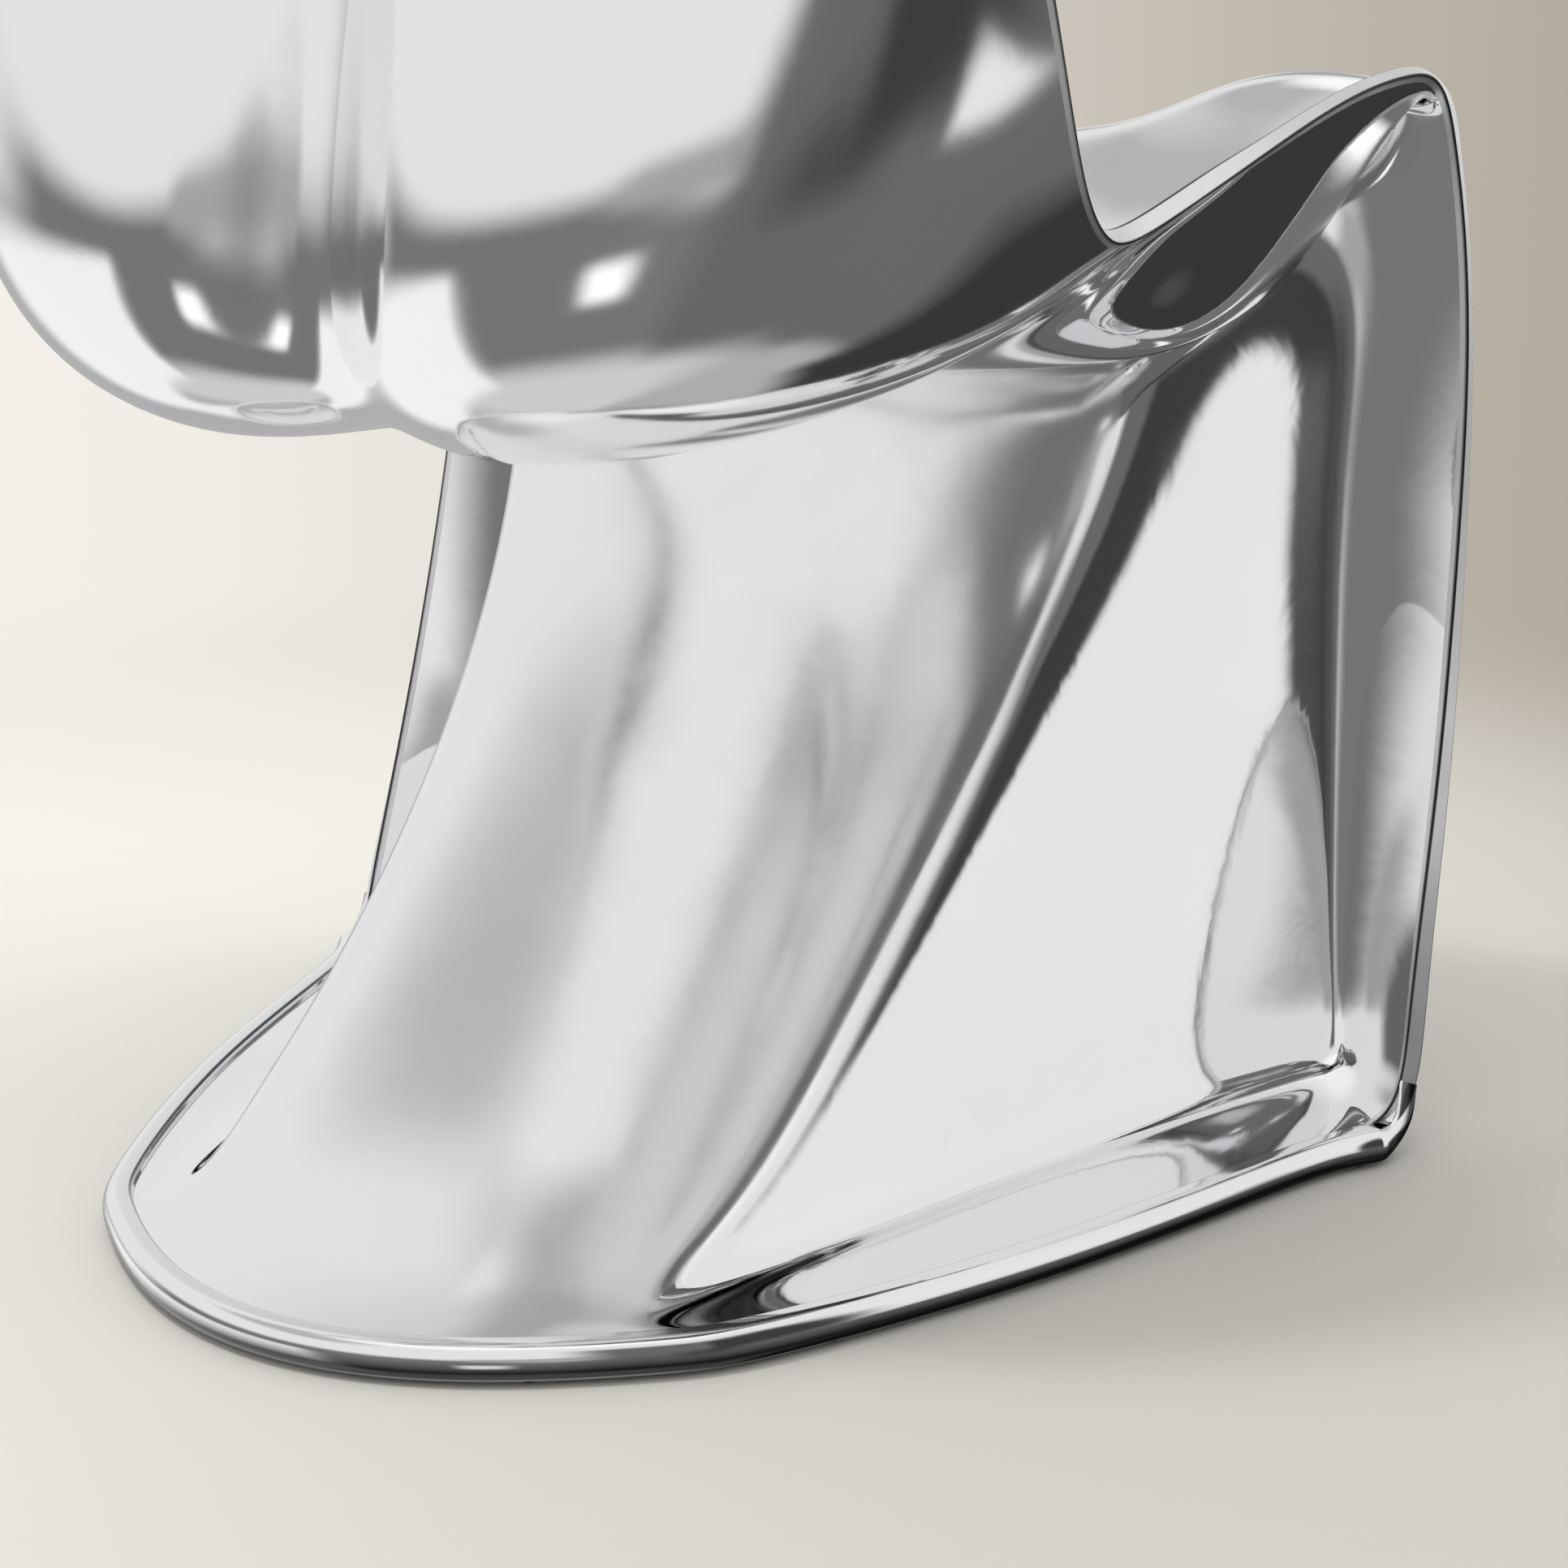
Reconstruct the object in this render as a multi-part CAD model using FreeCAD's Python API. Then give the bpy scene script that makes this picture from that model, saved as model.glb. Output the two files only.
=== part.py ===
"""Mirror-polished cantilever chair: one folded ribbon of bonded metal sandwich sheet on a U-shaped foot.

Millimetres. X is across the chair, the sitter looks along -Y, Z is up and the floor is Z = 0.
Left and right are the sitter's: left is +X. The origin is on the floor, in the middle of the plan.

The ribbon runs down the back, under the two seat lobes, forward over the seat, round the front lip,
down the leg and out to the foot. Its rear and lower face is one smooth surface. A net of stations
describes it: each station is a section from the middle of the chair out to the edge of the ribbon.
"""
import FreeCAD, Part
import os
from math import cos, pi, sin, sqrt

# ---- driving dimensions
SKIN = 2.0              # each polished skin
CORE = 4.0              # bonded core between the skins
SHEET = 2 * SKIN + CORE
BAND = 4.0              # width of the edge band, in from the edge of the ribbon
MIDDLE_Y = 3.0          # middle of the plan, measured in the stations' own Y
BEND = 14.0             # half width of each rounded fold of the leg

FOOT_LIFT = 1.5         # thickness of the glides, under the foot rail
RAIL_TOP = 17.0
RAIL_WIDTH = 12.0
RAIL_TIP_WIDTH = 1.5    # the rail's two front tips lie along the leg's front edges
RAIL_FLAT = 0.45        # flat share of the rail's width, inboard of its rounded side
PLATE = 2.0
PLATE_BOTTOM = 3.2
PLATE_GAP = 1.0         # between a floor plate and the foot rail
SCREW_R = 2.0
SCREW_HEAD_R = 4.0
SCREW_HEAD = 1.6
INSERT_R = 4.5
INSERT_HEIGHT = 6.0
GLIDE_R = 2.7

# ---- how a seat or back section climbs from its lobe (0) to its edge (1), at eight places across
ACROSS = (0.0, 0.12, 0.28, 0.52, 0.74, 0.885, 0.95, 1.0)
BACK = (0.0, 0.0, 0.03, 0.12, 0.34, 0.62, 0.86, 1.0)
LOBE = (0.0, 0.0, 0.0, 0.11, 0.33, 0.60, 0.84, 1.0)
WAIST = (0.0, 0.0, 0.02, 0.14, 0.40, 0.66, 0.88, 1.0)
SEAT = (0.0, 0.0, 0.0, 0.0, 0.03, 0.14, 0.46, 1.0)

# ---- stations of the back and seat: climb, middle (y, z), lobe (y, z), edge (x, y, z)
SEAT_STATIONS = [
    (BACK, (206, 872), (204, 868), (150, 196, 852)),
    (BACK, (202, 845), (200, 842), (194, 189, 830)),
    (BACK, (194, 790), (192, 790), (212, 178, 778)),
    (BACK, (184, 690), (190, 690), (226, 156, 690)),
    (BACK, (184, 590), (206, 590), (238, 134, 595)),
    (BACK, (190, 510), (236, 508), (247, 116, 520)),
    (LOBE, (197, 450), (260, 446), (250, 104, 472)),
    (LOBE, (204, 402), (260, 388), (246, 82, 438)),
    (LOBE, (206, 364), (228, 348), (242, 58, 422)),
    (LOBE, (176, 348), (172, 334), (240, 38, 417)),
    (WAIST, (120, 346), (104, 336), (241, 8, 422)),
    (WAIST, (40, 348), (30, 344), (246, -48, 437)),
    (SEAT, (-40, 350), (-45, 349), (250, -108, 453)),
    (SEAT, (-100, 352), (-105, 351), (251, -165, 463)),
]

# ---- stations of the lip, leg and foot:
#      middle (y, z), rearward crown, ridge (x, y, z), flank (x, y, z), valley (x, y, z), edge (x, y, z)
LEG_STATIONS = [
    ((-150, 364), 0, (110, -152, 364), (170, -165, 362), (214, -185, 369), (252, -212, 466)),
    ((-205, 400), 0, (110, -212, 404), (168, -208, 407), (214, -212, 398), (254, -234, 465)),
    ((-240, 424), 0, (105, -242, 436), (168, -238, 466), (218, -238, 472), (256, -247, 454)),
    ((-238, 410), 0, (110, -242, 416), (168, -244, 442), (218, -246, 442), (259, -253, 428)),
    ((-200, 384), 0, (130, -208, 386), (175, -218, 392), (217, -247, 400), (264, -254, 396)),
    ((-138, 345), 2, (158, -140, 347), (186, -182, 352), (215, -246, 350), (269, -251, 350)),
    ((-116, 303), 4, (158, -131, 303), (185, -185, 303), (214, -245, 300), (272, -244, 295)),
    ((-80, 240), 4, (149, -96, 240), (178, -165, 235), (216, -243, 230), (275, -231, 230)),
    ((-32, 180), 4, (141, -46, 180), (175, -140, 170), (220, -240, 165), (278, -215, 165)),
    ((28, 122), 4, (135, 16, 120), (172, -100, 110), (224, -236, 100), (280, -194, 100)),
    ((90, 75), 4, (133, 76, 72), (170, -60, 60), (228, -232, 58), (282, -181, 60)),
    ((140, 44), 6, (131, 128, 40), (170, -40, 28), (232, -228, 30), (283, -175, 40)),
    ((190, 26), 8, (122, 170, 22), (172, -20, 16), (236, -215, 17), (282, -169, 26)),
    ((228, 18), 12, (120, 205, 16), (190, 12, 15), (248, -172, 16), (279, -163, 18)),
    ((263, 14), 18, (146, 184, 14), (216, 34, 14), (258, -128, 14), (275, -154, 15)),
]
RIM = len(ACROSS) - 1                                    # station coordinate u at the ribbon's edge
LIP = len(SEAT_STATIONS) + 2.5                           # v at the top of the front lip
FOOT = len(SEAT_STATIONS) + len(LEG_STATIONS) - 1        # v at the foot rail
WAIST_V = 6.0                                            # v where the back ends and the lobes start
SEAT_V = 10.0                                            # v where the lobes end
UNDER_LIP = LIP + 2.5                                    # v where the leg's inner skins start
FOOT_VALLEY = FOOT - 2.4                                 # v of the fold between leg and foot flange
RIDGE = 2.5                                              # u of the leg's ridge
VALLEY = 5.5                                             # u of the leg's valley
TIP_V = FOOT - 2.5                                       # v of the foot rail's tips
PLATE_V = FOOT - 1.8                                     # v of the floor plates' front edges
SCREW_V = FOOT - 1.1                                     # v of the screws that hold the floor plates
SCREW_US = (-5.6, -4.6, -3.5, -1.6, 0.0, 1.6, 3.5, 4.6, 5.6)
GLIDE_US = (-6.6, -4.7, -3.2, -1.3, 1.3, 3.2, 4.7, 6.6)
STEPS = 3                                                # surface points between two stations
LIP_STEPS = 6                                            # the same round the tight front lip
RAIL_STEPS = 6                                           # sections of the foot rail between two stations
ROUND_STEPS = 8                                          # chords across the rail's rounded side


# ---- the net of stations
def mix(a, b, share):
    return tuple(p + (q - p) * share for p, q in zip(a, b))


def toward(a, b, distance):
    """The point at a distance from a on the way to b, at most 0.45 of the way."""
    length = sqrt(sum((q - p) ** 2 for p, q in zip(a, b)))
    return mix(a, b, min(distance / length, 0.45))


def seat_section(climb, middle, lobe, edge):
    points = [(0.0, *middle), (ACROSS[1] * edge[0], *mix(middle, lobe, 0.55))]
    for across, share in zip(ACROSS[2:], climb[2:]):
        points.append((across * edge[0], *mix(lobe, edge[1:], share)))
    return points


def leg_section(middle, crown, ridge, flank, valley, edge):
    centre = (0.0, *middle)
    x, y, z = mix(centre, ridge, 0.5)
    return [
        centre,
        (x, y + crown, z),
        toward(ridge, centre, BEND),
        toward(ridge, flank, BEND),
        flank,
        toward(valley, flank, BEND),
        toward(valley, edge, BEND),
        edge,
    ]


def station_net():
    """Rows of control points from the right edge to the left edge, with one more row and column all round,
    so that the surface ends exactly on the outermost stations."""
    half = [seat_section(*s) for s in SEAT_STATIONS] + [leg_section(*s) for s in LEG_STATIONS]
    rows = []
    for section in half:
        row = [(-x, y - MIDDLE_Y, z) for x, y, z in reversed(section[1:])]
        row += [(x, y - MIDDLE_Y, z) for x, y, z in section]
        rows.append([mix(row[1], row[0], 2.0)] + row + [mix(row[-2], row[-1], 2.0)])
    before = [mix(b, a, 2.0) for a, b in zip(rows[0], rows[1])]
    after = [mix(b, a, 2.0) for a, b in zip(rows[-1], rows[-2])]
    return [before] + rows + [after]


NET = station_net()


def weights(t):
    """Uniform cubic B-spline weights of four neighbours, and their slopes."""
    s = 1.0 - t
    value = (s ** 3 / 6, (3 * t ** 3 - 6 * t * t + 4) / 6, (3 * s ** 3 - 6 * s * s + 4) / 6, t ** 3 / 6)
    slope = (-s * s / 2, (3 * t * t - 4 * t) / 2, (-3 * s * s + 4 * s) / 2, t * t / 2)
    return value, slope


def place(v, u):
    """Point on the ribbon's rear face, and its slopes down the ribbon (v) and across it (u)."""
    i = min(int(v), FOOT - 1)
    j = min(int(u + RIM), 2 * RIM - 1)
    v_value, v_slope = weights(v - i)
    u_value, u_slope = weights(u + RIM - j)
    point = FreeCAD.Vector()
    down = FreeCAD.Vector()
    across = FreeCAD.Vector()
    for a in range(4):
        for b in range(4):
            control = FreeCAD.Vector(*NET[i + a][j + b])
            point += control * (v_value[a] * u_value[b])
            down += control * (v_slope[a] * u_value[b])
            across += control * (v_value[a] * u_slope[b])
    return point, down, across


def layer_point(v, u, depth):
    """Point at a depth into the sheet, measured square to its rear face."""
    point, down, across = place(v, u)
    inward = down.cross(across).normalize()
    return point + inward * depth


# ---- solids made from grids of points
def smooth_face(grid):
    surface = Part.BSplineSurface()
    surface.interpolate(grid)
    return surface


def side_curves(surface):
    u0, u1, v0, v1 = surface.bounds()
    return [surface.vIso(v0), surface.uIso(u1), surface.vIso(v1), surface.uIso(u0)]


def solid_of(faces):
    shell = Part.makeShell(faces)
    shell.sewShape()
    solid = Part.makeSolid(shell)
    if solid.Volume < 0:
        solid.reverse()
    return solid


def slab(near_grid, far_grid):
    """Closed solid between two smooth faces of the same layout."""
    near = smooth_face(near_grid)
    far = smooth_face(far_grid)
    faces = [near.toShape(), far.toShape()]
    for a, b in zip(side_curves(near), side_curves(far)):
        faces.append(Part.makeRuledSurface(a.toShape(), b.toShape()))
    return solid_of(faces)


def inner_u(v, u):
    """A station coordinate across, kept inside the edge band."""
    across = place(v, RIM)[2].Length
    limit = RIM - BAND / across
    return max(-limit, min(limit, u))


def top_v(u):
    """The station coordinate down the ribbon where the top edge band ends."""
    return BAND / place(0.0, u)[1].Length


def spread(low, high, steps):
    count = max(3, round(abs(high - low) * steps))
    return [low + (high - low) * k / count for k in range(count + 1)]


def down_places(low, high):
    """Station coordinates down the ribbon, closer together round the front lip."""
    lip_start, lip_end = LIP - 2.5, UNDER_LIP + 0.5
    places = []
    for start, end, steps in ((0, lip_start, STEPS), (lip_start, lip_end, LIP_STEPS), (lip_end, FOOT, STEPS)):
        a, b = max(low, start), min(high, end)
        if b > a:
            places += spread(a, b, steps)[1 if places else 0:]
    return places


def panel(v_range, u_range, near, far):
    """A panel of the ribbon between two depths, which stops at the edge bands."""
    low, high = u_range
    grids = []
    for depth in (near, far):
        grid = []
        for v_nominal in down_places(*v_range):
            row = []
            for u in spread(low, high, STEPS):
                v = v_nominal
                if v_range[0] == 0:
                    start = top_v(u)
                    v = start + v * (1 - start / v_range[1])
                share = (u - low) / (high - low)
                a, b = inner_u(v, low), inner_u(v, high)
                row.append(layer_point(v, a + (b - a) * share, depth))
            grid.append(row)
        grids.append(grid)
    return slab(*grids)


def edge_band(v_range, side):
    """The bar that closes the two skins along one side of the ribbon."""
    grids = []
    for depth in (0, SHEET):
        grid = []
        for v in down_places(*v_range):
            inset = inner_u(v, RIM)
            grid.append([layer_point(v, side * (inset + (RIM - inset) * k / 3), depth) for k in range(4)])
        grids.append(grid)
    return slab(*grids)


def top_band():
    """The bar that closes the two skins along the top, between the side bands."""
    limit = inner_u(0.0, RIM)
    grids = []
    for depth in (0, SHEET):
        grid = []
        for k in range(4):
            grid.append([layer_point(top_v(u) * k / 3, u, depth) for u in spread(-limit, limit, STEPS)])
        grids.append(grid)
    return slab(*grids)


# ---- foot
def rail_path():
    """Places (v, u) along the ribbon's lower edge, from the right tip round the tongue to the left tip."""
    corner = spread(TIP_V, FOOT, RAIL_STEPS + 2)
    path = [(v, -RIM) for v in corner]
    path += [(FOOT, u) for u in spread(-RIM, RIM, RAIL_STEPS)[1:-1]]
    path += [(v, RIM) for v in reversed(corner)]
    return path


def rail_section(before, here, after):
    """Points round the rail's section: inner bottom, rounded side and inner top."""
    point = place(*here)[0]
    along = (place(*after)[0] - place(*before)[0]).normalize()
    share = (FOOT - here[0]) / (FOOT - TIP_V)
    turn = share * share * (3 - 2 * share)
    square = (point - layer_point(*here, 1.0)).normalize()
    up = (FreeCAD.Vector(0, 0, 1) * (1 - turn) + square * turn).normalize()
    out = up.cross(along).normalize()
    bottom = (FOOT_LIFT - point.z) * (1 - turn) - SHEET * turn
    top = (RAIL_TOP - point.z) * (1 - turn)
    width = RAIL_WIDTH * (1 - turn) + RAIL_TIP_WIDTH * turn
    points = [point + up * bottom]
    for k in range(ROUND_STEPS + 1):
        angle = pi * (k / ROUND_STEPS - 0.5)
        reach = width * (RAIL_FLAT + (1 - RAIL_FLAT) * max(0.0, cos(angle)) ** 0.8)
        level = (bottom + top) / 2 + (top - bottom) / 2 * sin(angle)
        points.append(point + out * reach + up * level)
    points.append(point + up * top)
    return points


def curve_through(points):
    curve = Part.BSplineCurve()
    curve.interpolate(points)
    return curve.toShape()


def foot_rail():
    """Rounded bar round the foot, from one front tip round the rear tongue to the other."""
    path = rail_path()
    before = [path[0]] + path[:-1]
    after = path[1:] + [path[-1]]
    sections = [rail_section(*s) for s in zip(before, path, after)]
    outer = smooth_face([s[1:-1] for s in sections])
    inner_bottom = curve_through([s[0] for s in sections])
    inner_top = curve_through([s[-1] for s in sections])
    low, end_curve, high, start_curve = [c.toShape() for c in side_curves(outer)]
    faces = [
        outer.toShape(),
        Part.makeRuledSurface(low, inner_bottom),
        Part.makeRuledSurface(high, inner_top),
        Part.makeRuledSurface(inner_bottom, inner_top),
    ]
    for rim, section in ((start_curve, sections[0]), (end_curve, sections[-1])):
        faces.append(Part.makeRuledSurface(rim, Part.makeLine(section[0], section[-1])))
    return solid_of(faces)


def floor_plate(v_range, u_range):
    """Flat plate under the foot flange, inside the foot rail."""
    low, high = u_range
    grids = []
    for z in (PLATE_BOTTOM, PLATE_BOTTOM + PLATE):
        grid = []
        for v_nominal in spread(*v_range, STEPS):
            row = []
            for u in spread(low, high, STEPS):
                share = (u - low) / (high - low)
                a, b = inner_u(v_nominal, low), inner_u(v_nominal, high)
                end = FOOT - PLATE_GAP / place(FOOT, u)[1].Length
                v = v_range[0] + (end - v_range[0]) * (v_nominal - v_range[0]) / (FOOT - v_range[0])
                point = place(v, a + (b - a) * share)[0]
                point.z = z
                row.append(point)
            grid.append(row)
        grids.append(grid)
    return slab(*grids)


def upright(point, radius, bottom, height):
    return Part.makeCylinder(radius, height, FreeCAD.Vector(point.x, point.y, bottom))


def plate_screws():
    screws = []
    for u in SCREW_US:
        point = place(SCREW_V, u)[0]
        head = upright(point, SCREW_HEAD_R, PLATE_BOTTOM - SCREW_HEAD, SCREW_HEAD)
        shank = upright(point, SCREW_R, PLATE_BOTTOM, PLATE + INSERT_HEIGHT - 1.0)
        screws.append(head.fuse(shank).removeSplitter())
    return screws


def threaded_inserts():
    inserts = []
    for u in SCREW_US:
        point = place(SCREW_V, u)[0]
        bottom = PLATE_BOTTOM + PLATE
        bore = upright(point, SCREW_R, bottom, INSERT_HEIGHT - 1.0)
        inserts.append(upright(point, INSERT_R, bottom, INSERT_HEIGHT).cut(bore))
    return inserts


def drilled(plate):
    for u in SCREW_US:
        plate = plate.cut(upright(place(SCREW_V, u)[0], SCREW_R, 0, RAIL_TOP))
    return plate.Solids[0]


def glides():
    discs = []
    for u in GLIDE_US:
        point, down, across = place(FOOT, u)
        out = FreeCAD.Vector(-across.y, across.x, 0).normalize()
        discs.append(upright(point + out * (RAIL_WIDTH * RAIL_FLAT / 2), GLIDE_R, 0, FOOT_LIFT))
    return discs


def write(name, shape):
    shape.exportStep(f"parts/{name}.step")
    box = shape.optimalBoundingBox()
    print(f"{name}: valid {shape.isValid()}, {shape.Volume / 1000:.1f} cm3, solids {len(shape.Solids)}, "
          f"y {box.YMin:.1f} {box.YMax:.1f}, z {box.ZMin:.1f} {box.ZMax:.1f}")


REAR = (0, SKIN)
MIDDLE = (SKIN, SKIN + CORE)
FRONT = (SKIN + CORE, SHEET)
SIDES = (("left", 1), ("right", -1))


def half_range(side, low, high):
    return (low, high) if side > 0 else (-high, -low)


def main():
    os.makedirs("parts", exist_ok=True)
    whole = (-RIM, RIM)
    between_ridges = (-RIDGE, RIDGE)
    write("back_rear_skin", panel((0, WAIST_V), whole, *REAR))
    write("back_front_skin", panel((0, WAIST_V), whole, *FRONT))
    write("back_core", panel((0, WAIST_V), whole, *MIDDLE))
    write("seat_under_skin", panel((SEAT_V, LIP), whole, *REAR))
    write("seat_top_skin", panel((WAIST_V, SEAT_V + 4), whole, *FRONT))
    write("seat_core", panel((WAIST_V, SEAT_V + 4), whole, *MIDDLE))
    write("front_lip_skin", panel((SEAT_V + 4, UNDER_LIP), whole, *FRONT))
    write("front_lip_core", panel((SEAT_V + 4, UNDER_LIP), whole, *MIDDLE))
    write("leg_rear_skin", panel((LIP, FOOT), between_ridges, *REAR))
    write("leg_front_skin", panel((UNDER_LIP, FOOT), between_ridges, *FRONT))
    write("leg_core", panel((UNDER_LIP, FOOT), between_ridges, *MIDDLE))
    for name, side in SIDES:
        write(f"{name}_lobe_skin", panel((WAIST_V, SEAT_V), half_range(side, 0, RIM), *REAR))
        write(f"{name}_flank_skin", panel((LIP, FOOT_VALLEY), half_range(side, RIDGE, VALLEY), *REAR))
        write(f"{name}_flange_skin", panel((LIP, FOOT_VALLEY), half_range(side, VALLEY, RIM), *REAR))
        write(f"{name}_foot_flange", panel((FOOT_VALLEY, FOOT), half_range(side, RIDGE, RIM), *REAR))
        write(f"{name}_leg_inner_skin", panel((UNDER_LIP, FOOT), half_range(side, RIDGE, RIM), *FRONT))
        write(f"{name}_leg_core", panel((UNDER_LIP, FOOT), half_range(side, RIDGE, RIM), *MIDDLE))
        write(f"{name}_side_band", edge_band((0, LIP), side))
        write(f"{name}_front_band", edge_band((LIP, FOOT), side))
        plate = drilled(floor_plate((PLATE_V, FOOT), half_range(side, RIDGE, RIM)))
        write(f"{name}_floor_plate", plate)
    write("back_top_band", top_band())
    write("foot_rail", foot_rail())
    write("rear_floor_plate", drilled(floor_plate((PLATE_V, FOOT), between_ridges)))
    write("plate_screws", Part.makeCompound(plate_screws()))
    write("threaded_inserts", Part.makeCompound(threaded_inserts()))
    write("glides", Part.makeCompound(glides()))


main()
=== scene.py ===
"""Mirror-polished cantilever chair: the look of each piece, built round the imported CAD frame."""
from math import cos, pi, radians, sin, sqrt

import bmesh
import bpy
import numpy as np
from mathutils import Matrix, Vector


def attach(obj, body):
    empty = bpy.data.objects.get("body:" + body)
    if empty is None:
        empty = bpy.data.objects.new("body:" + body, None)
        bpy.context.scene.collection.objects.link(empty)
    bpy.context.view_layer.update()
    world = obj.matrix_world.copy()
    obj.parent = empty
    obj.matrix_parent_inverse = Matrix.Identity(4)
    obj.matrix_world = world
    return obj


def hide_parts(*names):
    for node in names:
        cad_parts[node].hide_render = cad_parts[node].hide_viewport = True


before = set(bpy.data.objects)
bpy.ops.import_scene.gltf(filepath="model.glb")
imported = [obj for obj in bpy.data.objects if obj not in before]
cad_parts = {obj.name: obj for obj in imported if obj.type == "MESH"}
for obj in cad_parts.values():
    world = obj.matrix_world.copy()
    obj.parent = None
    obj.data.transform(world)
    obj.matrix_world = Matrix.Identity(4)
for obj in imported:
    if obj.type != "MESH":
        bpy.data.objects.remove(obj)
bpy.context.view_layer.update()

MM = 0.001

# ---- the ribbon, in millimetres, with the same stations as the CAD part
SKIN, SHEET, BAND = 2.0, 8.0, 4.0
MIDDLE_Y = 3.0          # middle of the plan, measured in the stations' own Y
BEND, BEND_SHARE = 14.0, 0.45       # width of a fold on each side, and the largest share of a face it takes
BEYOND = 2.0            # where the control points beyond an edge lie, on the line through the last two
FOOT_LIFT, RAIL_TOP, RAIL_WIDTH, RAIL_TIP_WIDTH, RAIL_FLAT = 1.5, 17.0, 12.0, 1.5, 0.45
ROUND = 1.0             # fillet along the ribbon's edges
LOBE_SHOULDER = 0.55    # how far the second control point stands from the middle line towards the lobe
ACROSS = (0.0, 0.12, 0.28, 0.52, 0.74, 0.885, 0.95, 1.0)
BACK = (0.0, 0.0, 0.03, 0.12, 0.34, 0.62, 0.86, 1.0)
LOBE = (0.0, 0.0, 0.0, 0.11, 0.33, 0.60, 0.84, 1.0)
WAIST = (0.0, 0.0, 0.02, 0.14, 0.40, 0.66, 0.88, 1.0)
SEAT = (0.0, 0.0, 0.0, 0.0, 0.03, 0.14, 0.46, 1.0)
SEAT_STATIONS = [
    (BACK, (206, 872), (204, 868), (150, 196, 852)),
    (BACK, (202, 845), (200, 842), (194, 189, 830)),
    (BACK, (194, 790), (192, 790), (212, 178, 778)),
    (BACK, (184, 690), (190, 690), (226, 156, 690)),
    (BACK, (184, 590), (206, 590), (238, 134, 595)),
    (BACK, (190, 510), (236, 508), (247, 116, 520)),
    (LOBE, (197, 450), (260, 446), (250, 104, 472)),
    (LOBE, (204, 402), (260, 388), (246, 82, 438)),
    (LOBE, (206, 364), (228, 348), (242, 58, 422)),
    (LOBE, (176, 348), (172, 334), (240, 38, 417)),
    (WAIST, (120, 346), (104, 336), (241, 8, 422)),
    (WAIST, (40, 348), (30, 344), (246, -48, 437)),
    (SEAT, (-40, 350), (-45, 349), (250, -108, 453)),
    (SEAT, (-100, 352), (-105, 351), (251, -165, 463)),
]
LEG_STATIONS = [
    ((-150, 364), 0, (110, -152, 364), (170, -165, 362), (214, -185, 369), (252, -212, 466)),
    ((-205, 400), 0, (110, -212, 404), (168, -208, 407), (214, -212, 398), (254, -234, 465)),
    ((-240, 424), 0, (105, -242, 436), (168, -238, 466), (218, -238, 472), (256, -247, 454)),
    ((-238, 410), 0, (110, -242, 416), (168, -244, 442), (218, -246, 442), (259, -253, 428)),
    ((-200, 384), 0, (130, -208, 386), (175, -218, 392), (217, -247, 400), (264, -254, 396)),
    ((-138, 345), 2, (158, -140, 347), (186, -182, 352), (215, -246, 350), (269, -251, 350)),
    ((-116, 303), 4, (158, -131, 303), (185, -185, 303), (214, -245, 300), (272, -244, 295)),
    ((-80, 240), 4, (149, -96, 240), (178, -165, 235), (216, -243, 230), (275, -231, 230)),
    ((-32, 180), 4, (141, -46, 180), (175, -140, 170), (220, -240, 165), (278, -215, 165)),
    ((28, 122), 4, (135, 16, 120), (172, -100, 110), (224, -236, 100), (280, -194, 100)),
    ((90, 75), 4, (133, 76, 72), (170, -60, 60), (228, -232, 58), (282, -181, 60)),
    ((140, 44), 6, (131, 128, 40), (170, -40, 28), (232, -228, 30), (283, -175, 40)),
    ((190, 26), 8, (122, 170, 22), (172, -20, 16), (236, -215, 17), (282, -169, 26)),
    ((228, 18), 12, (120, 205, 16), (190, 12, 15), (248, -172, 16), (279, -163, 18)),
    ((263, 14), 18, (146, 184, 14), (216, 34, 14), (258, -128, 14), (275, -154, 15)),
]
RIM = len(ACROSS) - 1
LIP = len(SEAT_STATIONS) + 2.5
FOOT = len(SEAT_STATIONS) + len(LEG_STATIONS) - 1
WAIST_V, SEAT_V, UNDER_LIP = 6.0, 10.0, LIP + 2.5     # seams, as places down the ribbon
LIP_SEAM = SEAT_V + 4
FOOT_VALLEY, TIP_V = FOOT - 2.4, FOOT - 2.5
RIDGE, VALLEY = 2.5, 5.5                              # the leg's folds, as places across the ribbon
STEPS = 10                                            # mesh rows between two stations


def mix(a, b, share):
    return tuple(p + (q - p) * share for p, q in zip(a, b))


def toward(a, b, distance):
    """The point at a distance from a on the way to b, never as far as halfway."""
    length = sqrt(sum((q - p) ** 2 for p, q in zip(a, b)))
    return mix(a, b, min(distance / length, BEND_SHARE))


def seat_section(climb, middle, lobe, edge):
    points = [(0.0, *middle), (ACROSS[1] * edge[0], *mix(middle, lobe, LOBE_SHOULDER))]
    for across, share in zip(ACROSS[2:], climb[2:]):
        points.append((across * edge[0], *mix(lobe, edge[1:], share)))
    return points


def leg_section(middle, crown, ridge, flank, valley, edge):
    centre = (0.0, *middle)
    x, y, z = mix(centre, ridge, 0.5)
    return [centre, (x, y + crown, z), toward(ridge, centre, BEND), toward(ridge, flank, BEND), flank,
            toward(valley, flank, BEND), toward(valley, edge, BEND), edge]


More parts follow.
